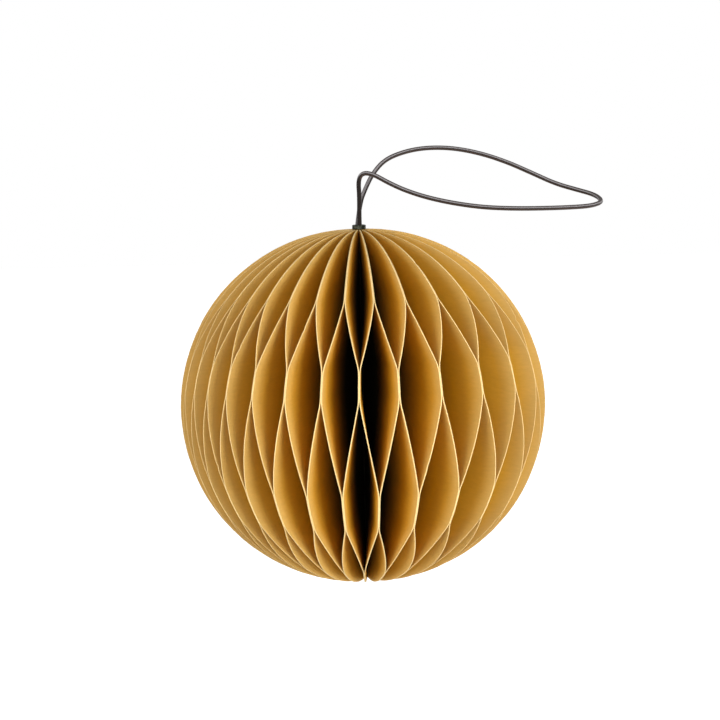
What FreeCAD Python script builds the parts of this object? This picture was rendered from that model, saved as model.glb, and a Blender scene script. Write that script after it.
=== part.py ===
import FreeCAD, Part
import math
import os

os.makedirs("parts", exist_ok=True)

# A hanging honeycomb ball of folded paper. Half-disc leaves stand round an upright spine like
# the pages of a book opened right round, and are glued to their neighbours by turns along level
# strips, so that they open into cells. A leather loop leaves the top through a small metal collar.
# Millimetres and degrees. The origin is the ball's centre, Z is the spine, the front looks to -Y.

# Paper leaves
LEAF_RADIUS = 38.6          # the half disc that each leaf is cut from
SPINE_OFFSET = 1.45         # from the axis to the straight edge of the half discs
PACKED_DEPTH = 0.55         # how far out from that edge the leaves are pressed into one spine
PAPER_THICKNESS = 0.22
PACKING = 0.8               # share of the spine's girth that paper fills, at the closest pair
PAIR_COUNT = 28             # pairs of leaves, two leaves to a pair

# Spread of the pairs round the axis: even, plus a slow and a quick unevenness
FAN_TURN = 5.4              # azimuth of the first pair, from the front towards +X
FAN_BUNCHING = 14.45        # one side is opened wider than the other by this much
FAN_BUNCHING_PHASE = -108.7
FAN_WAVER = 0.68            # small uneven steps between one pair and the next
FAN_WAVER_PHASE = 139.2
FAN_WAVER_CYCLES = 5

# Twist of the whole ball over its height: half waves of 1, 2 and 3 from pole to pole
TWIST = (1.32, 0.37, 0.38)

# Heights of the glued strips on the leaves' rims, as angles down from the top of the half disc.
# The two leaves of a pair hold together in the first and third, neighbouring pairs in the others.
CROWN_STRIP_END = 49.0
UPPER_STRIP = (70.0, 81.1)
LOWER_STRIP = (109.0, 123.8)
FOOT_STRIP_START = 149.1
GLUED_STEP = 10.0           # longest facet of a rim in a strip
OPEN_STEP = 7.0             # longest facet of a rim between strips

# Collar at the top of the spine
COLLAR_DIAMETER = 3.0
COLLAR_HEIGHT = 1.0
COLLAR_WALL = 0.35
COLLAR_EDGE = 0.15

# Leather cord, one loop with both ends in the collar
CORD_DIAMETER = 1.0
ARC_SHARE = 0.45            # share of the shorter run that each bend uses

# Points of the cord's route. The first and the last stand on the spine inside the collar.
CORD_RISE = [
    (0.1, -0.55, 41.4), (0.2, -0.6, 44.2), (0.2, -0.9, 46.6), (0.1, -1.1, 48.6),
    (0.4, -1.3, 50.1), (1.2, -1.6, 50.8), (2.4, -1.9, 50.8), (4.0, -2.2, 50.2),
]
CORD_FRONT_RUN = [
    (6.4, -2.8, 48.8), (9.9, -3.6, 47.1), (14.5, -4.6, 45.5), (20.0, -5.8, 44.2),
    (26.4, -7.0, 43.2), (33.0, -7.6, 42.8), (39.6, -7.4, 42.7), (45.7, -6.1, 42.7),
    (50.4, -3.8, 42.8),
]
CORD_FAR_BEND = [(53.2, -0.3, 43.5), (51.9, 3.4, 44.8)]
CORD_BACK_RUN = [
    (48.4, 6.1, 45.8), (43.7, 8.0, 47.2), (38.7, 9.3, 49.6), (33.1, 10.0, 52.2),
    (27.1, 9.7, 54.3), (20.9, 8.6, 55.6), (14.9, 7.2, 55.8), (10.0, 5.8, 55.0),
    (5.9, 4.4, 53.4), (3.3, 3.0, 50.6), (1.6, 1.8, 47.4), (0.2, 1.0, 44.0),
]
CORD_START = (0.15, -0.53)
CORD_END = (-0.42, 0.45)

# Sizes that follow from those above
CORE_RADIUS = SPINE_OFFSET + PACKED_DEPTH
BALL_RADIUS = SPINE_OFFSET + LEAF_RADIUS
POLE_ANGLE = math.degrees(math.asin(PACKED_DEPTH / LEAF_RADIUS))
SPINE_TOP = LEAF_RADIUS * math.cos(math.radians(POLE_ANGLE))


def pair_azimuth(number):
    """Azimuth of a pair in radians; a half number lies between two pairs."""
    even = 360.0 * number / PAIR_COUNT
    slow = FAN_BUNCHING * math.sin(math.radians(even + FAN_BUNCHING_PHASE))
    quick = FAN_WAVER * math.sin(math.radians(FAN_WAVER_CYCLES * even + FAN_WAVER_PHASE))
    return math.radians(FAN_TURN + even + slow + quick)


def closest_spacing():
    """Smallest angle from one pair, or one gap between pairs, to the next."""
    halves = range(2 * PAIR_COUNT)
    return min(pair_azimuth(h / 2 + 1) - pair_azimuth(h / 2) for h in halves)


def twist(angle):
    """Turn of the ball in radians at one rim angle."""
    down = math.radians(angle)
    return math.radians(sum(turn * math.sin(wave * down) for wave, turn in enumerate(TWIST, 1)))


def lean(start, end, from_share, to_share):
    """Rim angles from start to end with the share of the way that a leaf has moved at each.

    Share 0 lays the leaf against the other leaf of its pair, share 1 against the next pair.
    Between strips the leaf runs straight over its height.
    """
    glued = from_share == to_share
    count = math.ceil((end - start) / (GLUED_STEP if glued else OPEN_STEP))
    top = math.cos(math.radians(start))
    bottom = math.cos(math.radians(end))
    rows = []
    for step in range(1, count + 1):
        angle = start + (end - start) * step / count
        way = (top - math.cos(math.radians(angle))) / (top - bottom)
        rows.append((angle, from_share + (to_share - from_share) * way))
    rows[-1] = (end, to_share)
    return rows


def leaf_rows():
    """All rows of a leaf from pole to pole, as (rim angle, share)."""
    rows = [(POLE_ANGLE, 0)]
    rows += lean(POLE_ANGLE, CROWN_STRIP_END, 0, 0)
    rows += lean(CROWN_STRIP_END, UPPER_STRIP[0], 0, 1)
    rows += lean(UPPER_STRIP[0], UPPER_STRIP[1], 1, 1)
    rows += lean(UPPER_STRIP[1], LOWER_STRIP[0], 1, 0)
    rows += lean(LOWER_STRIP[0], LOWER_STRIP[1], 0, 0)
    rows += lean(LOWER_STRIP[1], FOOT_STRIP_START, 0, 1)
    rows += lean(FOOT_STRIP_START, 180 - POLE_ANGLE, 1, 1)
    return rows


ROWS = leaf_rows()
CREASED_THICKNESS = PACKING * closest_spacing() * CORE_RADIUS / 2


def leaf_corner(pair, side, row, face, rim):
    """One corner of a leaf at one row.

    side is +1 for the leaf towards the next pair and -1 for the one towards the last pair,
    face is "own" towards the other leaf of the pair and "next" towards the next pair.
    """
    angle, share = ROWS[row]
    height = LEAF_RADIUS * math.cos(math.radians(angle))
    radius = CORE_RADIUS
    thickness = CREASED_THICKNESS
    if rim and 0 < row < len(ROWS) - 1:
        radius = SPINE_OFFSET + LEAF_RADIUS * math.sin(math.radians(angle))
        outward = (radius - CORE_RADIUS) / (BALL_RADIUS - CORE_RADIUS)
        thickness += (PAPER_THICKNESS - CREASED_THICKNESS) * outward
    start = pair_azimuth(pair)
    azimuth = start + (pair_azimuth(pair + side / 2) - start) * share + twist(angle)
    offset = -share if face == "own" else 1 - share
    across = side * offset * thickness
    return FreeCAD.Vector(
        radius * math.sin(azimuth) + across * math.cos(azimuth),
        -radius * math.cos(azimuth) + across * math.sin(azimuth),
        height,
    )


def facets(corners):
    """Flat faces over three or four corners; four that don't lie flat are split in two."""
    distinct = []
    for corner in corners:
        if all(corner.distanceToPoint(other) > 1e-6 for other in distinct):
            distinct.append(corner)
    if len(distinct) < 3:
        return []
    loops = [distinct]
    if len(distinct) == 4:
        a, b, c, d = distinct
        normal = (b - a).cross(c - a)
        if abs(normal.dot(d - a)) > 1e-9 * max(normal.Length, 1.0):
            loops = [[a, b, c], [a, c, d]]
    return [Part.Face(Part.makePolygon(loop + loop[:1])) for loop in loops]


def band(row, low, high):
    """Face between two edges that each run from a row to the next; an edge is leaf_corner's
    arguments without the row."""
    def corner(edge, at):
        pair, side, face, rim = edge
        return leaf_corner(pair, side, at, face, rim)
    return facets([corner(low, row), corner(high, row), corner(high, row + 1), corner(low, row + 1)])


def make_honeycomb():
    """The leaves, their glued strips and the spine as one closed solid of flat facets."""
    faces = []
    for row in range(len(ROWS) - 1):
        shares = (ROWS[row][1], ROWS[row + 1][1])
        pair_open = shares != (0, 0)
        next_open = shares != (1, 1)
        for pair in range(PAIR_COUNT):
            for side in (-1, 1):
                own_core = (pair, side, "own", False)
                own_rim = (pair, side, "own", True)
                next_core = (pair, side, "next", False)
                next_rim = (pair, side, "next", True)
                faces += band(row, own_rim, next_rim)
                if pair_open:
                    faces += band(row, own_core, own_rim)
                if next_open:
                    faces += band(row, next_core, next_rim)
            if pair_open:
                faces += band(row, (pair, -1, "own", False), (pair, 1, "own", False))
            if next_open:
                following = (pair + 1) % PAIR_COUNT
                faces += band(row, (pair, 1, "next", False), (following, -1, "next", False))
    for row in (0, len(ROWS) - 1):
        ring = []
        for pair in range(PAIR_COUNT):
            for side, face in ((-1, "next"), (-1, "own"), (1, "own"), (1, "next")):
                corner = leaf_corner(pair, side, row, face, False)
                if not ring or corner.distanceToPoint(ring[-1]) > 1e-6:
                    ring.append(corner)
        if ring[0].distanceToPoint(ring[-1]) < 1e-6:
            ring.pop()
        faces.append(Part.Face(Part.makePolygon(ring + ring[:1])))
    shell = Part.Shell(faces)
    shell.sewShape()
    return Part.Solid(shell)


def make_collar():
    """Short ring that stands on the spine round both ends of the cord."""
    base = FreeCAD.Vector(0, 0, SPINE_TOP)
    outside = Part.makeCylinder(COLLAR_DIAMETER / 2, COLLAR_HEIGHT, base)
    bore = Part.makeCylinder(COLLAR_DIAMETER / 2 - COLLAR_WALL, COLLAR_HEIGHT, base)
    ring = outside.cut(bore)
    outer_edges = [edge for edge in ring.Edges
                   if edge.Curve.TypeId == "Part::GeomCircle"
                   and abs(edge.Curve.Radius - COLLAR_DIAMETER / 2) < 1e-6]
    return ring.makeFillet(COLLAR_EDGE, outer_edges)


def cord_points():
    """The cord's whole route, from spine to spine."""
    start = (CORD_START[0], CORD_START[1], SPINE_TOP)
    end = (CORD_END[0], CORD_END[1], SPINE_TOP)
    middle = CORD_RISE + CORD_FRONT_RUN + CORD_FAR_BEND + CORD_BACK_RUN
    return [FreeCAD.Vector(*point) for point in [start] + middle + [end]]


def make_cord():
    """Tube along straight runs joined by tangent arcs."""
    points = cord_points()
    edges = []
    radii = []
    at = points[0]
    for before, corner, after in zip(points, points[1:], points[2:]):
        into = (corner - before).normalize()
        out = (after - corner).normalize()
        half_turn = into.getAngle(out) / 2
        tangent = ARC_SHARE * min((corner - before).Length, (after - corner).Length)
        radius = tangent / math.tan(half_turn)
        radii.append(radius)
        arc_start = corner - into * tangent
        arc_end = corner + out * tangent
        towards_centre = (out - into).normalize()
        middle = corner + towards_centre * (radius / math.cos(half_turn) - radius)
        edges.append(Part.LineSegment(at, arc_start).toShape())
        edges.append(Part.Arc(arc_start, middle, arc_end).toShape())
        at = arc_end
    edges.append(Part.LineSegment(at, points[-1]).toShape())
    path = Part.Wire(edges)
    circle = Part.Circle(points[0], points[1] - points[0], CORD_DIAMETER / 2)
    tube = path.makePipeShell([Part.Wire(circle.toShape())], True, True)
    section = math.pi * CORD_DIAMETER ** 2 / 4
    print("cord length", round(path.Length, 1), "smallest bend radii",
          [round(radius, 2) for radius in sorted(radii)[:4]])
    print("cord volume over section times length", round(tube.Volume / (section * path.Length), 4))
    return tube


PARTS = {
    "paper_honeycomb": make_honeycomb,
    "cord_collar": make_collar,
    "hanging_cord": make_cord,
}

for name, make in PARTS.items():
    shape = make()
    print(name, "valid", shape.isValid(), "volume", round(shape.Volume, 1),
          "faces", len(shape.Faces), "solids", len(shape.Solids))
    shape.exportStep(os.path.join("parts", name + ".step"))
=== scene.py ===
"""A hanging honeycomb ball of ochre paper with a leather loop, on a plain white stage."""

import math
import random

import bpy
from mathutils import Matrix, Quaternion, Vector


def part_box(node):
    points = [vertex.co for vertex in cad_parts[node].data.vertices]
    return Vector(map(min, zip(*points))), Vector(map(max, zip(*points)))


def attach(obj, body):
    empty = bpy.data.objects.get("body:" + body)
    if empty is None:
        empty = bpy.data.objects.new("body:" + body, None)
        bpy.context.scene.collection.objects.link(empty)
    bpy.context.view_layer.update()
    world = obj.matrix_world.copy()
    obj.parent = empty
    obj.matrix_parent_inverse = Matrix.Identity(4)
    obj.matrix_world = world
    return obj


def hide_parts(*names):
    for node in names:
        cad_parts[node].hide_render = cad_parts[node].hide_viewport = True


bl_info = {
    "name": "Honeycomb Paper Ball",
    "version": (1, 0, 0),
    "blender": (4, 5, 0),
    "location": "View3D > Sidebar > Paper Ball",
    "description": "Paper leaves, collar, leather loop and stage for a honeycomb paper ball",
    "category": "Object",
}

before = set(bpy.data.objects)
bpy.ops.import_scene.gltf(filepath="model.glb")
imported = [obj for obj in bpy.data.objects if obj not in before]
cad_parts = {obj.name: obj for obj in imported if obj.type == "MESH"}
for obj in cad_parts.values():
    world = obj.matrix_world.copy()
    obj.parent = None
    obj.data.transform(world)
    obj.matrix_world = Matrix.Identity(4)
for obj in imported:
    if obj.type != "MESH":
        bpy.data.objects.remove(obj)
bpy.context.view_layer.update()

MM = 0.001
BODY = "root"
HONEYCOMB_NODE = "paper_honeycomb"
COLLAR_NODE = "cord_collar"
CORD_NODE = "hanging_cord"

# The spine's flat ends are the top and bottom of the solid that the leaves stand for
SPINE_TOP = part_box(HONEYCOMB_NODE)[1][2]

# Heights of the glued strips, as angles down from the top of each leaf's half disc.
# Share 0 lays a leaf against the other leaf of its pair, share 1 against the next pair.
CROWN_STRIP_END = 49.0
UPPER_STRIP = (70.0, 81.1)
LOWER_STRIP = (109.0, 123.8)
FOOT_STRIP_START = 149.1

# Over this angle on both sides of a strip's end, the stiff paper bends and doesn't crease.
# The bend is worked out in this many steps to each side.
STRIP_END_BEND = 1.5
BEND_STEPS = 8

# The glue stops this angle short of each strip's end, and at the foot it starts this much higher
GLUE_SHORT = 0.6
FOOT_GLUE_HIGHER = 1.3

# The spread of the pairs round the ball: even, plus a slow and a quick unevenness, in degrees
FAN_TURN = 5.4
FAN_BUNCHING = 14.45
FAN_BUNCHING_PHASE = -108.7
FAN_WAVER = 0.68
FAN_WAVER_PHASE = 139.2
FAN_WAVER_CYCLES = 5

# Twist of the whole ball over its height, in degrees: half waves of 1, 2 and 3
TWIST = (1.32, 0.37, 0.38)

# Share of the room round the spine that the creased leaves fill
CREASE_FILL = 0.8

# Made-up wear of the cut rims, in millimetres: the cut's unevenness, the range of depths of the
# fine nicks, and the counts of nicks that a leaf may have, as often as each stands here
WEAR_SEED = 28
CUT_UNEVENNESS = 0.05
NICK_DEPTHS = (0.12, 0.28)
NICK_COUNTS = (0, 1, 1, 2)

# Points of the cord's route in millimetres; its two ends stand on the spine inside the collar
CORD_START = (0.15, -0.53)
CORD_END = (-0.42, 0.45)
CORD_ROUTE = [
    (0.1, -0.55, 41.4), (0.2, -0.6, 44.2), (0.2, -0.9, 46.6), (0.1, -1.1, 48.6),
    (0.4, -1.3, 50.1), (1.2, -1.6, 50.8), (2.4, -1.9, 50.8), (4.0, -2.2, 50.2),
    (6.4, -2.8, 48.8), (9.9, -3.6, 47.1), (14.5, -4.6, 45.5), (20.0, -5.8, 44.2),
    (26.4, -7.0, 43.2), (33.0, -7.6, 42.8), (39.6, -7.4, 42.7), (45.7, -6.1, 42.7),
    (50.4, -3.8, 42.8), (53.2, -0.3, 43.5), (51.9, 3.4, 44.8),
    (48.4, 6.1, 45.8), (43.7, 8.0, 47.2), (38.7, 9.3, 49.6), (33.1, 10.0, 52.2),
    (27.1, 9.7, 54.3), (20.9, 8.6, 55.6), (14.9, 7.2, 55.8), (10.0, 5.8, 55.0),
    (5.9, 4.4, 53.4), (3.3, 3.0, 50.6), (1.6, 1.8, 47.4), (0.2, 1.0, 44.0),
]

# The camera, as it stood: seen from the front, a little above the ball's middle
IMAGE_SIZE = 720
BALL_CENTRE_PIXEL = (363.0, 404.3)
CAMERA_DISTANCE = 0.432
CAMERA_ELEVATION = 8.9
CAMERA_ROLL = 1.3
CAMERA_LENS = 97.9
SENSOR_WIDTH = 36.0

# Softboxes by name: azimuth from the front towards +X, elevation, width and height in metres,
# and share of the stage's lamp power
LAMP_DISTANCE = 0.8
SOFTBOXES = {
    "left_side": (-90, 0, 0.8, 0.5, 0.6),
    "right_side": (90, 0, 0.8, 0.5, 0.68),
    "left_front": (-42, 2, 0.5, 0.4, 1.0),
    "right_front": (40, 2, 0.5, 0.4, 1.6),
}

# The sky is dim in front, behind and at the sides, and bright in the bands between, about 17
# to 30 degrees off the line of the camera: share of its strength by the sine of the azimuth
SKY_SHARES = ((0.0, 0.3), (0.2, 0.35), (0.3, 1.0), (0.5, 1.0), (0.65, 0.25), (1.0, 0.25))

# The floor reaches this far each way in metres. It is a middling grey under the lamps, so that
# it throws little light up at the ball, and shows nearly white to the camera.
FLOOR_REACH = 4.0
FLOOR_TONE = 0.45
FLOOR_SHOWN = 0.95

# The paper's four tones lie at these depths below the rim, in millimetres: a painted highlight at
# the rim, its full colour below, and painted shade, darker, towards the spine. The spine's wall
# gets the deepest painted shade and its two flat ends, which lie open at the poles, a shallower
# one.
TONE_DEPTHS = (0.0, 4.0, 9.0, 22.0)
DEEPEST = 40.0
SPINE_END_DEPTH = 9.0

# Faces that meet at more than this angle keep a sharp edge
SHARP_ANGLE = 35.0

# Sockets of a Mix node that mixes colours, which share their names with its other sockets
MIX_FACTOR = 0
MIX_A = 6
MIX_B = 7
MIX_RESULT = 2

# Colours as sRGB hex
# Painted highlight: the leaves paler and brighter along the rim, where the light strikes them
PAINTED_RIM_LIGHT_HEX = "#D6AE62"
PAPER_HEX = "#D8A438"
# Painted shade: the leaves fuller in colour deeper in the cells, then dark near the spine
DEEP_PAPER_PAINTED_SHADE_HEX = "#CB9920"
INNER_PAPER_PAINTED_SHADE_HEX = "#3F3B2A"
# Partly painted highlight: the cut edge paler where the light strikes it, partly its paler core
CUT_EDGE_HEX = "#ECCD8E"
LEATHER_HEX = "#1A1411"
# Painted sheen: a pale grey highlight line along the cord's upper side
LEATHER_PAINTED_SHEEN_HEX = "#807C7D"
COLLAR_HEX = "#33352E"
STAGE_HEX = "#FFFFFF"


def hex_to_linear(code):
    """Linear RGB of an sRGB hex colour."""
    channels = [int(code[i:i + 2], 16) / 255 for i in (1, 3, 5)]
    return tuple(c / 12.92 if c <= 0.04045 else ((c + 0.055) / 1.055) ** 2.4 for c in channels)


def rgba(colour):
    """Colour with full alpha."""
    return (*colour[:3], 1.0)


def grey(level):
    """Linear grey of one level."""
    return (level, level, level)


def scaled(colour, factor):
    """Colour made darker or lighter."""
    return tuple(min(1.0, channel * factor) for channel in colour[:3])


def pattern_scale(width):
    """Scale of a noise pattern whose spots are this many millimetres wide."""
    return 1 / (width * MM)


class BallSizes(bpy.types.PropertyGroup):
    leaf_radius: bpy.props.FloatProperty(
        name="Leaf radius", description="Radius of the half disc that each leaf is cut from",
        default=38.6 * MM, unit="LENGTH", precision=4)
    spine_offset: bpy.props.FloatProperty(
        name="Spine offset", description="From the axis to the straight edge of the leaves",
        default=1.45 * MM, unit="LENGTH", precision=4)
    paper_thickness: bpy.props.FloatProperty(
        name="Paper thickness", description="Thickness of one leaf at its rim",
        default=0.22 * MM, unit="LENGTH", precision=5)
    pair_count: bpy.props.IntProperty(
        name="Pairs of leaves", description="Pairs of leaves round the ball", default=28, min=6)
    rows: bpy.props.IntProperty(
        name="Rows", description="Rows of faces down a leaf, from pole to pole",
        default=150, min=24)
    columns: bpy.props.IntProperty(
        name="Columns", description="Faces across a leaf, from spine to rim", default=3, min=2)
    cord_diameter: bpy.props.FloatProperty(
        name="Cord diameter", description="Thickness of the round leather cord",
        default=1.0 * MM, unit="LENGTH", precision=4)


class BallColours(bpy.types.PropertyGroup):
    # Painted highlight along the rim
    painted_rim_light: bpy.props.FloatVectorProperty(
        name="Painted rim light", description="Colour of the leaves along the rim", subtype="COLOR",
        size=3, min=0, max=1, default=hex_to_linear(PAINTED_RIM_LIGHT_HEX))
    paper: bpy.props.FloatVectorProperty(
        name="Paper", description="Colour of the leaves near the rim", subtype="COLOR", size=3,
        min=0, max=1, default=hex_to_linear(PAPER_HEX))
    # Painted shade inside the cells
    deep_paper_painted_shade: bpy.props.FloatVectorProperty(
        name="Deep paper", description="Colour of the leaves inside the cells", subtype="COLOR",
        size=3, min=0, max=1, default=hex_to_linear(DEEP_PAPER_PAINTED_SHADE_HEX))
    # Painted shade near the spine
    inner_paper_painted_shade: bpy.props.FloatVectorProperty(
        name="Inner paper", description="Colour of the leaves near the spine", subtype="COLOR",
        size=3, min=0, max=1, default=hex_to_linear(INNER_PAPER_PAINTED_SHADE_HEX))
    # Partly a painted highlight on the lit cut edges
    cut_edge: bpy.props.FloatVectorProperty(
        name="Cut edge", description="Colour of the paper's cut edges", subtype="COLOR", size=3,
        min=0, max=1, default=hex_to_linear(CUT_EDGE_HEX))
    leather: bpy.props.FloatVectorProperty(
        name="Leather", description="Colour of the cord", subtype="COLOR", size=3,
        min=0, max=1, default=hex_to_linear(LEATHER_HEX))
    # Painted sheen along the cord's upper side
    leather_painted_sheen: bpy.props.FloatVectorProperty(
        name="Leather bloom", description="Colour of the wax bloom on the cord's upper side",
        subtype="COLOR", size=3, min=0, max=1, default=hex_to_linear(LEATHER_PAINTED_SHEEN_HEX))
    collar: bpy.props.FloatVectorProperty(
        name="Collar", description="Colour of the metal collar", subtype="COLOR", size=3,
        min=0, max=1, default=hex_to_linear(COLLAR_HEX))


class BallStage(bpy.types.PropertyGroup):
    floor_drop: bpy.props.FloatProperty(
        name="Floor drop", description="How far the floor lies below the ball's middle",
        default=0.30, unit="LENGTH")
    sky_strength: bpy.props.FloatProperty(
        name="Sky strength", description="Soft light from all round, at its brightest",
        default=1.1, min=0)
    lamp_power: bpy.props.FloatProperty(
        name="Lamp power", description="Power of a softbox whose share is 1",
        default=3.7, min=0, unit="POWER")


def settings():
    """The scene's own settings of this add-on."""
    scene = bpy.context.scene
    return scene.ball_sizes, scene.ball_colours, scene.ball_stage


def add_node(tree, kind, properties=None, links=None, stops=(), **values):
    """Adds a node, sets its properties and input values, and links its inputs.

    properties are the node's own, values its sockets by name with _ for a space, links its
    sockets, by name or number, with the outputs that feed them, and stops the places and
    colours of its colour ramp.
    """
    node = tree.nodes.new(kind)
    for name, value in (properties or {}).items():
        setattr(node, name, value)
    for name, value in values.items():
        node.inputs[name.replace("_", " ")].default_value = value
    for socket, output in (links or {}).items():
        tree.links.new(output, node.inputs[socket])
    for index, (place, colour) in enumerate(stops):
        if index == len(node.color_ramp.elements):
            node.color_ramp.elements.new(1.0)
        node.color_ramp.elements[index].position = place
        node.color_ramp.elements[index].color = rgba(colour)
    return node


def new_material(name):
    """An empty node material with its output."""
    material = bpy.data.materials.new(name)
    material.use_nodes = True
    material.node_tree.nodes.clear()
    output = add_node(material.node_tree, "ShaderNodeOutputMaterial")
    return material, material.node_tree, output


def dyed_paper_and_painted_light(tones):
    """Uncoated ochre paper of about 200 grams, dyed through: matt, with a faint fibre mottle
    and a shallow tooth that softens every reflection. A painted highlight makes the rim a little
    paler, and towards the spine painted shade makes the sheet fuller in colour, then dark."""
    material, tree, output = new_material("uncoated_dyed_paper_painted_light")
    place = add_node(tree, "ShaderNodeTexCoord").outputs["Object"]
    clouds = add_node(tree, "ShaderNodeTexNoise", links={"Vector": place},
                      Scale=pattern_scale(6), Detail=3.0, Roughness=0.55)

    # Real fibres are some 0.03 mm wide, too fine to show, so they are drawn 0.45 mm wide and
    # four times as long, lying across the leaf
    across = add_node(tree, "ShaderNodeMapping", links={"Vector": place}, Scale=(0.25, 0.25, 1.0))
    fibre = add_node(tree, "ShaderNodeTexNoise", links={"Vector": across.outputs["Vector"]},
                     Scale=pattern_scale(0.45), Detail=4.0, Roughness=0.6)
    mottle = add_node(tree, "ShaderNodeMix", {"data_type": "FLOAT"},
                      links={"A": clouds.outputs["Fac"], "B": fibre.outputs["Fac"]}, Factor=0.6)
    shade = add_node(tree, "ShaderNodeValToRGB", links={"Fac": mottle.outputs[0]},
                     stops=((0.3, grey(0.92)), (0.7, grey(1.05))))
    # Tones by depth below the rim: painted highlight at the rim, own colour, painted shade inwards
    depth = add_node(tree, "ShaderNodeAttribute", {"attribute_name": "rim_depth"})
    sheet = add_node(tree, "ShaderNodeValToRGB", links={"Fac": depth.outputs["Fac"]},
                     stops=[(deep / DEEPEST, tone) for deep, tone in zip(TONE_DEPTHS, tones)])
    tinted = add_node(tree, "ShaderNodeMix", {"data_type": "RGBA", "blend_type": "MULTIPLY"},
                      links={MIX_A: sheet.outputs["Color"], MIX_B: shade.outputs["Color"]})
    tinted.inputs[MIX_FACTOR].default_value = 1.0
    tooth = add_node(tree, "ShaderNodeBump", links={"Height": fibre.outputs["Fac"]},
                     Strength=0.25, Distance=0.03 * MM)
    surface = add_node(tree, "ShaderNodeBsdfPrincipled", links={
        "Base Color": tinted.outputs[MIX_RESULT], "Normal": tooth.outputs["Normal"]},
        Roughness=0.65, IOR=1.45, Specular_IOR_Level=0.3)
    tree.links.new(surface.outputs["BSDF"], output.inputs["Surface"])
    return material


def guillotined_edge(colour):
    """The same sheet where it was cut: open fibres without the dye's full depth, so the edge is
    rougher, a little fuzzy and paler, and a painted highlight of the lit rim makes it paler still."""
    material, tree, output = new_material("guillotined_paper_edge")
    place = add_node(tree, "ShaderNodeTexCoord").outputs["Object"]

    # The open fibres are drawn 0.5 mm wide, many times their width, so that they show
    fuzz = add_node(tree, "ShaderNodeTexNoise", links={"Vector": place},
                    Scale=pattern_scale(0.5), Detail=3.0, Roughness=0.6)
    tone = add_node(tree, "ShaderNodeValToRGB", links={"Fac": fuzz.outputs["Fac"]},
                    stops=((0.3, scaled(colour, 0.86)), (0.65, colour)))
    surface = add_node(tree, "ShaderNodeBsdfPrincipled",
                       links={"Base Color": tone.outputs["Color"]}, Roughness=0.75, IOR=1.45)
    tree.links.new(surface.outputs["BSDF"], output.inputs["Surface"])
    return material


def waxed_leather_painted_sheen(colour, painted_sheen):
    """Round-cut leather cord, dyed nearly black and waxed: smooth, with a fine grain. Painted
    light
    by facing: a pale grey painted sheen line along its upper side, and a greyer underside."""
    material, tree, output = new_material("waxed_leather_cord_painted_sheen")
    place = add_node(tree, "ShaderNodeTexCoord")

    # The leather's pores are about 0.1 mm apart, and are drawn 0.35 mm wide so that they show
    grain = add_node(tree, "ShaderNodeTexNoise", links={"Vector": place.outputs["Object"]},
                     Scale=pattern_scale(0.35), Detail=3.0, Roughness=0.6)

    # How far the cord's skin faces up: 0 straight down, 0.5 sideways and 1 straight up
    facing = add_node(tree, "ShaderNodeSeparateXYZ", links={0: place.outputs["Normal"]})
    upward = add_node(tree, "ShaderNodeMath", {"operation": "MULTIPLY_ADD"},
                      links={0: facing.outputs["Z"]})
    upward.inputs[1].default_value = 0.5
    upward.inputs[2].default_value = 0.5
    # Painted light by facing: greyer underside, dark sides, pale painted sheen line above, greyer
    # top
    tone = add_node(tree, "ShaderNodeValToRGB", links={"Fac": upward.outputs[0]}, stops=(
        (0.0, scaled(colour, 3.0)), (0.3, scaled(colour, 5.0)), (0.43, colour), (0.52, colour),
        (0.64, painted_sheen), (0.74, painted_sheen), (0.87, scaled(colour, 3.0))))
    speckle = add_node(tree, "ShaderNodeValToRGB", links={"Fac": grain.outputs["Fac"]},
                       stops=((0.3, grey(0.85)), (0.7, grey(1.12))))
    # The black dye with the painted light and the grain's speckle
    dyed = add_node(tree, "ShaderNodeMix", {"data_type": "RGBA", "blend_type": "MULTIPLY"},
                    links={MIX_A: tone.outputs["Color"], MIX_B: speckle.outputs["Color"]})
    dyed.inputs[MIX_FACTOR].default_value = 1.0
    pores = add_node(tree, "ShaderNodeBump", links={"Height": grain.outputs["Fac"]},
                     Strength=0.3, Distance=0.03 * MM)
    surface = add_node(tree, "ShaderNodeBsdfPrincipled", links={
        "Base Color": dyed.outputs[MIX_RESULT], "Normal": pores.outputs["Normal"]},
        Roughness=0.4, IOR=1.5, Specular_IOR_Level=0.15)
    tree.links.new(surface.outputs["BSDF"], output.inputs["Surface"])
    return material


def blackened_brass(colour):
    """Pressed brass eyelet with a thin blackened finish: dark, still metallic, worn a little
    brighter in patches."""
    material, tree, output = new_material("blackened_brass")
    place = add_node(tree, "ShaderNodeTexCoord").outputs["Object"]
    wear = add_node(tree, "ShaderNodeTexNoise", links={"Vector": place},
                    Scale=pattern_scale(0.8), Detail=3.0, Roughness=0.6)
    tone = add_node(tree, "ShaderNodeValToRGB", links={"Fac": wear.outputs["Fac"]},
                    stops=((0.42, scaled(colour, 0.6)), (0.62, scaled(colour, 3.2))))
    surface = add_node(tree, "ShaderNodeBsdfPrincipled",
                       links={"Base Color": tone.outputs["Color"]}, Metallic=1.0, Roughness=0.4)
    tree.links.new(surface.outputs["BSDF"], output.inputs["Surface"])
    return material


def pair_azimuth(number, pair_count):
    """Azimuth of a pair in radians; a half number lies between two pairs."""
    even = 360.0 * number / pair_count
    slow = FAN_BUNCHING * math.sin(math.radians(even + FAN_BUNCHING_PHASE))
    quick = FAN_WAVER * math.sin(math.radians(FAN_WAVER_CYCLES * even + FAN_WAVER_PHASE))
    return math.radians(FAN_TURN + even + slow + quick)


def twist(angle):
    """Turn of the ball in radians at one rim angle."""
    down = math.radians(angle)
    return math.radians(sum(turn * math.sin(wave * down) for wave, turn in enumerate(TWIST, 1)))


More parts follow.
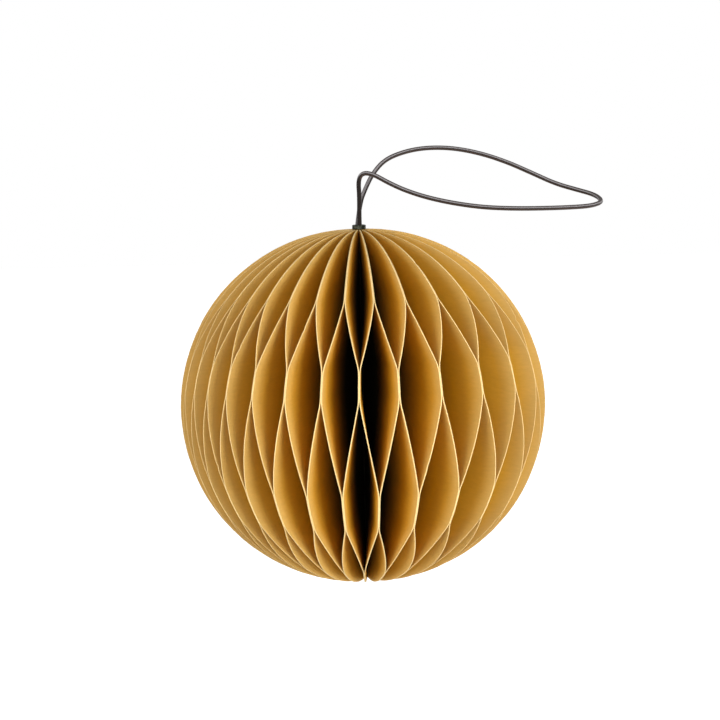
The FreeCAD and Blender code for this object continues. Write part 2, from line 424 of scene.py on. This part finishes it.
def straight_share(angle):
    """How far a leaf has moved from its pair towards the next pair, with creased strip ends."""
    bends = ((0.0, 0), (CROWN_STRIP_END - GLUE_SHORT, 0),
             (UPPER_STRIP[0] + GLUE_SHORT, 1), (UPPER_STRIP[1] - GLUE_SHORT, 1),
             (LOWER_STRIP[0] + GLUE_SHORT, 0), (LOWER_STRIP[1] - GLUE_SHORT, 0),
             (FOOT_STRIP_START - FOOT_GLUE_HIGHER, 1), (180.0, 1))
    for (start, from_share), (end, to_share) in zip(bends, bends[1:]):
        if angle <= end:
            break
    if from_share == to_share:
        return from_share
    top = math.cos(math.radians(start))
    bottom = math.cos(math.radians(end))
    way = (top - math.cos(math.radians(angle))) / (top - bottom)
    return from_share + (to_share - from_share) * way


def leaf_share(angle):
    """The same with its strip ends bent round: the mean over a short stretch of the rim."""
    steps = [STRIP_END_BEND * step / BEND_STEPS for step in range(-BEND_STEPS, BEND_STEPS + 1)]
    spots = [min(180.0, max(0.0, angle + step)) for step in steps]
    return sum(straight_share(spot) for spot in spots) / len(spots)


def rim_angles(rows, pole_angle):
    """Rim angles of a leaf's rows, in even steps."""
    step = (180 - 2 * pole_angle) / rows
    return [pole_angle + step * row for row in range(rows + 1)]


def rim_wear(rows, draw):
    """How far a cut rim lies inside its half disc at each row, in millimetres: a faint
    unevenness of the cut, and a few fine nicks."""
    wear = [draw.uniform(0.0, CUT_UNEVENNESS) for _ in range(rows + 1)]
    for _ in range(draw.choice(NICK_COUNTS)):
        wear[draw.randrange(rows)] += draw.uniform(*NICK_DEPTHS)
    return wear


def leaf_faces(base, rows, columns, side, faces, cut):
    """Adds one leaf's faces: its two sides, its cut rim, noted in cut, and its crease."""
    width = columns + 1

    def at(row, face, column):
        return base + (2 * row + face) * width + column

    def quad(a, b, c, d):
        faces.append((a, b, c, d) if side > 0 else (d, c, b, a))

    for row in range(rows):
        for column in range(columns):
            quad(at(row, 0, column), at(row, 0, column + 1),
                 at(row + 1, 0, column + 1), at(row + 1, 0, column))
            quad(at(row, 1, column + 1), at(row, 1, column),
                 at(row + 1, 1, column), at(row + 1, 1, column + 1))
        cut.append(len(faces))
        quad(at(row, 0, columns), at(row, 1, columns),
             at(row + 1, 1, columns), at(row + 1, 0, columns))
        quad(at(row, 1, 0), at(row, 0, 0), at(row + 1, 0, 0), at(row + 1, 1, 0))


def build_leaves(sizes):
    """Vertices, faces, the cut edges' face numbers and each vertex's depth below the rim."""
    leaf_radius = sizes.leaf_radius
    offset = sizes.spine_offset
    ball_radius = offset + leaf_radius
    pole_angle = math.degrees(math.acos(min(1.0, SPINE_TOP / leaf_radius)))
    core_radius = offset + leaf_radius * math.sin(math.radians(pole_angle))
    pairs = sizes.pair_count
    spacing = min(pair_azimuth(half / 2 + 1, pairs) - pair_azimuth(half / 2, pairs)
                  for half in range(2 * pairs))
    creased = CREASE_FILL * spacing * core_radius / 2
    angles = rim_angles(sizes.rows, pole_angle)
    shares = [leaf_share(angle) for angle in angles]
    draw = random.Random(WEAR_SEED)
    columns = sizes.columns
    verts = []
    faces = []
    cut = []
    depths = []
    for pair in range(pairs):
        start = pair_azimuth(pair, pairs)
        for side in (-1, 1):
            reach = pair_azimuth(pair + side / 2, pairs) - start
            base = len(verts)
            wear = rim_wear(sizes.rows, draw)
            for angle, share, worn in zip(angles, shares, wear):
                height = leaf_radius * math.cos(math.radians(angle))
                rim_radius = offset + leaf_radius * math.sin(math.radians(angle))
                rim_radius = max(core_radius, rim_radius - worn * MM)
                azimuth = start + reach * share + twist(angle)
                sin_a = math.sin(azimuth)
                cos_a = math.cos(azimuth)
                for lateral in (-share, 1 - share):
                    for column in range(columns + 1):
                        radius = core_radius + (rim_radius - core_radius) * column / columns
                        outward = (radius - core_radius) / (ball_radius - core_radius)
                        thickness = creased + (sizes.paper_thickness - creased) * outward
                        across = side * lateral * thickness
                        verts.append((radius * sin_a + across * cos_a,
                                      -radius * cos_a + across * sin_a, height))
                        depths.append(rim_radius - radius)
            leaf_faces(base, sizes.rows, columns, side, faces, cut)
    add_spine(verts, faces, depths, core_radius, 2 * pairs)
    return verts, faces, cut, depths


def add_spine(verts, faces, depths, radius, sides):
    """The pressed core that the creased leaves meet on, with its two flat ends."""
    base = len(verts)
    # The wall's depth gives it the darkest painted shade, the flat ends that of the deep paper
    for height, depth in ((-SPINE_TOP, DEEPEST), (SPINE_TOP, DEEPEST),
                          (-SPINE_TOP, SPINE_END_DEPTH), (SPINE_TOP, SPINE_END_DEPTH)):
        for side in range(sides):
            angle = 2 * math.pi * side / sides
            verts.append((radius * math.sin(angle), -radius * math.cos(angle), height))
            depths.append(depth * MM)
    for side in range(sides):
        after = (side + 1) % sides
        faces.append((base + side, base + after, base + sides + after, base + sides + side))
    foot = base + 2 * sides
    crown = base + 3 * sides
    faces.append(tuple(range(foot + sides - 1, foot - 1, -1)))
    faces.append(tuple(range(crown, crown + sides)))


def mesh_object(name, verts, faces):
    """A mesh object at the origin."""
    mesh = bpy.data.meshes.new(name)
    mesh.from_pydata(verts, [], faces)
    mesh.validate()
    item = bpy.data.objects.new(name, mesh)
    bpy.context.collection.objects.link(item)
    return item


class BALL_OT_leaves(bpy.types.Operator):
    """Makes the paper leaves round the spine"""
    bl_idname = "ball.leaves"
    bl_label = "Make paper leaves"

    def execute(self, context):
        sizes, colours, _ = settings()
        verts, faces, cut, depths = build_leaves(sizes)
        leaves = mesh_object("honeycomb_leaves", verts, faces)
        inwards = leaves.data.attributes.new("rim_depth", "FLOAT", "POINT")
        inwards.data.foreach_set("value", [depth / (DEEPEST * MM) for depth in depths])
        # The rim's painted highlight and the cells' painted shade go into the paper's colour
        leaves.data.materials.append(dyed_paper_and_painted_light([colours.painted_rim_light, colours.paper,
                                                 colours.deep_paper_painted_shade, colours.inner_paper_painted_shade]))
        leaves.data.materials.append(guillotined_edge(colours.cut_edge))
        leaves.data.polygons.foreach_set("use_smooth", [True] * len(faces))
        for index in cut:
            leaves.data.polygons[index].material_index = 1
        leaves.data.update()
        leaves.data.set_sharp_from_angle(angle=math.radians(SHARP_ANGLE))
        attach(leaves, BODY)
        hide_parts(HONEYCOMB_NODE)
        return {"FINISHED"}


class BALL_OT_collar(bpy.types.Operator):
    """Gives the metal collar its finish"""
    bl_idname = "ball.collar"
    bl_label = "Finish the collar"

    def execute(self, context):
        _, colours, _ = settings()
        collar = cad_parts[COLLAR_NODE]
        collar.material_slots[0].material = blackened_brass(colours.collar)
        return {"FINISHED"}


class BALL_OT_cord(bpy.types.Operator):
    """Makes the leather loop"""
    bl_idname = "ball.cord"
    bl_label = "Make the leather loop"

    def execute(self, context):
        sizes, colours, _ = settings()
        start = (CORD_START[0] * MM, CORD_START[1] * MM, SPINE_TOP)
        end = (CORD_END[0] * MM, CORD_END[1] * MM, SPINE_TOP)
        points = [start] + [tuple(c * MM for c in point) for point in CORD_ROUTE] + [end]
        curve = bpy.data.curves.new("leather_loop", "CURVE")
        curve.dimensions = "3D"
        curve.bevel_depth = sizes.cord_diameter / 2
        curve.bevel_resolution = 6
        curve.resolution_u = 12
        curve.use_fill_caps = True
        spline = curve.splines.new("NURBS")
        spline.points.add(len(points) - 1)
        for spot, point in zip(spline.points, points):
            spot.co = (*point, 1.0)
        spline.order_u = 3
        spline.use_endpoint_u = True
        loop = bpy.data.objects.new("leather_loop", curve)
        bpy.context.collection.objects.link(loop)
        curve.materials.append(waxed_leather_painted_sheen(colours.leather, colours.leather_painted_sheen))
        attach(loop, BODY)
        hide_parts(CORD_NODE)
        return {"FINISHED"}


def look_from(position, target):
    """Rotation of something at position that faces target."""
    return (Vector(target) - Vector(position)).to_track_quat("-Z", "Y")


def make_camera():
    """The camera at the photograph's place, aimed so that the ball's middle falls on its pixel."""
    data = bpy.data.cameras.new("camera")
    data.lens = CAMERA_LENS
    data.sensor_width = SENSOR_WIDTH
    data.clip_start = 0.01
    data.clip_end = 20.0
    camera = bpy.data.objects.new("camera", data)
    bpy.context.collection.objects.link(camera)
    elevation = math.radians(CAMERA_ELEVATION)
    camera.location = (0.0, -CAMERA_DISTANCE * math.cos(elevation),
                       CAMERA_DISTANCE * math.sin(elevation))
    focal_pixels = CAMERA_LENS / SENSOR_WIDTH * IMAGE_SIZE
    up = math.atan((BALL_CENTRE_PIXEL[1] - IMAGE_SIZE / 2) / focal_pixels)
    left = math.atan((BALL_CENTRE_PIXEL[0] - IMAGE_SIZE / 2) / focal_pixels)
    camera.rotation_mode = "QUATERNION"
    camera.rotation_quaternion = (
        look_from(camera.location, (0, 0, 0))
        @ Quaternion((0, 0, 1), -math.radians(CAMERA_ROLL))
        @ Quaternion((1, 0, 0), up)
        @ Quaternion((0, 1, 0), left)
    )
    bpy.context.scene.camera = camera


def make_softbox(name, azimuth, elevation, width, height, power):
    """A rectangular soft lamp that faces the ball from one direction. It lights and isn't seen,
    so that the collar and the cord mirror the plain white room and no lamp's rectangle."""
    data = bpy.data.lights.new(name, "AREA")
    data.shape = "RECTANGLE"
    data.size = width
    data.size_y = height
    data.energy = power
    lamp = bpy.data.objects.new(name, data)
    bpy.context.collection.objects.link(lamp)
    across = math.radians(azimuth)
    up = math.radians(elevation)
    lamp.location = (LAMP_DISTANCE * math.cos(up) * math.sin(across),
                     -LAMP_DISTANCE * math.cos(up) * math.cos(across),
                     LAMP_DISTANCE * math.sin(up))
    lamp.rotation_mode = "QUATERNION"
    lamp.rotation_quaternion = look_from(lamp.location, (0, 0, 0))
    lamp.visible_camera = False
    lamp.visible_glossy = False


def seen_directly(tree):
    """1 for camera, glossy and transmission rays, which see the white background itself."""
    path = add_node(tree, "ShaderNodeLightPath")
    seen = path.outputs["Is Camera Ray"]
    for ray in ("Is Glossy Ray", "Is Transmission Ray"):
        seen = add_node(tree, "ShaderNodeMath", {"operation": "MAXIMUM"},
                        links={0: seen, 1: path.outputs[ray]}).outputs[0]
    return seen


def make_sky(strength):
    """White all round: 1 where it is seen, and the set strength where it lights."""
    world = bpy.data.worlds.new("white_room")
    world.use_nodes = True
    tree = world.node_tree
    tree.nodes.clear()
    way = add_node(tree, "ShaderNodeTexCoord").outputs["Generated"]
    flat = add_node(tree, "ShaderNodeVectorMath", {"operation": "MULTIPLY"}, links={0: way})
    flat.inputs[1].default_value = (1.0, 1.0, 0.0)
    level_way = add_node(tree, "ShaderNodeVectorMath", {"operation": "NORMALIZE"},
                         links={0: flat.outputs[0]})
    part = add_node(tree, "ShaderNodeSeparateXYZ", links={0: level_way.outputs[0]})
    aside = add_node(tree, "ShaderNodeMath", {"operation": "ABSOLUTE"},
                     links={0: part.outputs["X"]})
    shares = add_node(tree, "ShaderNodeValToRGB", links={"Fac": aside.outputs[0]},
                      stops=[(place, grey(share * strength)) for place, share in SKY_SHARES])
    level = add_node(tree, "ShaderNodeMix", {"data_type": "FLOAT"},
                     links={"Factor": seen_directly(tree), "A": shares.outputs["Color"]}, B=1.0)
    light = add_node(tree, "ShaderNodeBackground", links={"Strength": level.outputs[0]},
                     Color=rgba(hex_to_linear(STAGE_HEX)))
    add_node(tree, "ShaderNodeOutputWorld", links={"Surface": light.outputs[0]})
    bpy.context.scene.world = world


def make_floor(drop):
    """A wide plain floor below the hanging ball, white where the camera sees it."""
    corners = [(across * FLOOR_REACH, along * FLOOR_REACH, -drop)
               for across, along in ((-1, -1), (1, -1), (1, 1), (-1, 1))]
    floor = mesh_object("floor", corners, [(0, 1, 2, 3)])
    material, tree, output = new_material("white_paper_floor")
    matt = add_node(tree, "ShaderNodeBsdfDiffuse", Color=rgba(grey(FLOOR_TONE)))
    lift = add_node(tree, "ShaderNodeMath", {"operation": "MULTIPLY"},
                    links={0: seen_directly(tree)})
    lift.inputs[1].default_value = FLOOR_SHOWN
    white = add_node(tree, "ShaderNodeEmission", links={"Strength": lift.outputs[0]},
                     Color=rgba(hex_to_linear(STAGE_HEX)))
    both = add_node(tree, "ShaderNodeAddShader", links={0: matt.outputs[0], 1: white.outputs[0]})
    tree.links.new(both.outputs[0], output.inputs["Surface"])
    floor.data.materials.append(material)


class BALL_OT_stage(bpy.types.Operator):
    """Makes the floor, the light and the camera"""
    bl_idname = "ball.stage"
    bl_label = "Make the stage"

    def execute(self, context):
        _, _, stage = settings()
        bpy.context.scene.view_settings.view_transform = "Standard"
        make_floor(stage.floor_drop)
        make_sky(stage.sky_strength)
        for name, (azimuth, elevation, width, height, share) in SOFTBOXES.items():
            make_softbox(name, azimuth, elevation, width, height, share * stage.lamp_power)
        make_camera()
        return {"FINISHED"}


class BALL_PT_panel(bpy.types.Panel):
    """Lists the ball's settings, its pieces and the stage"""
    bl_idname = "BALL_PT_panel"
    bl_label = "Honeycomb Paper Ball"
    bl_space_type = "VIEW_3D"
    bl_region_type = "UI"
    bl_category = "Paper Ball"

    def draw(self, context):
        for group in settings():
            box = self.layout.box()
            for name in group.bl_rna.properties.keys():
                if name not in ("rna_type", "name"):
                    box.prop(group, name)
        for operator in OPERATORS:
            self.layout.operator(operator.bl_idname)


OPERATORS = (BALL_OT_leaves, BALL_OT_collar, BALL_OT_cord, BALL_OT_stage)
GROUPS = {"ball_sizes": BallSizes, "ball_colours": BallColours, "ball_stage": BallStage}


def register():
    """Registers the settings, the operators and the panel."""
    for name, group in GROUPS.items():
        bpy.utils.register_class(group)
        setattr(bpy.types.Scene, name, bpy.props.PointerProperty(type=group))
    for operator in OPERATORS:
        bpy.utils.register_class(operator)
    bpy.utils.register_class(BALL_PT_panel)


def unregister():
    """Removes what register added."""
    bpy.utils.unregister_class(BALL_PT_panel)
    for operator in reversed(OPERATORS):
        bpy.utils.unregister_class(operator)
    for name, group in GROUPS.items():
        delattr(bpy.types.Scene, name)
        bpy.utils.unregister_class(group)


def main():
    """Makes the whole scene."""
    register()
    bpy.ops.ball.stage()
    bpy.ops.ball.cord()
    bpy.ops.ball.collar()
    bpy.ops.ball.leaves()


if __name__ == "__main__":
    main()
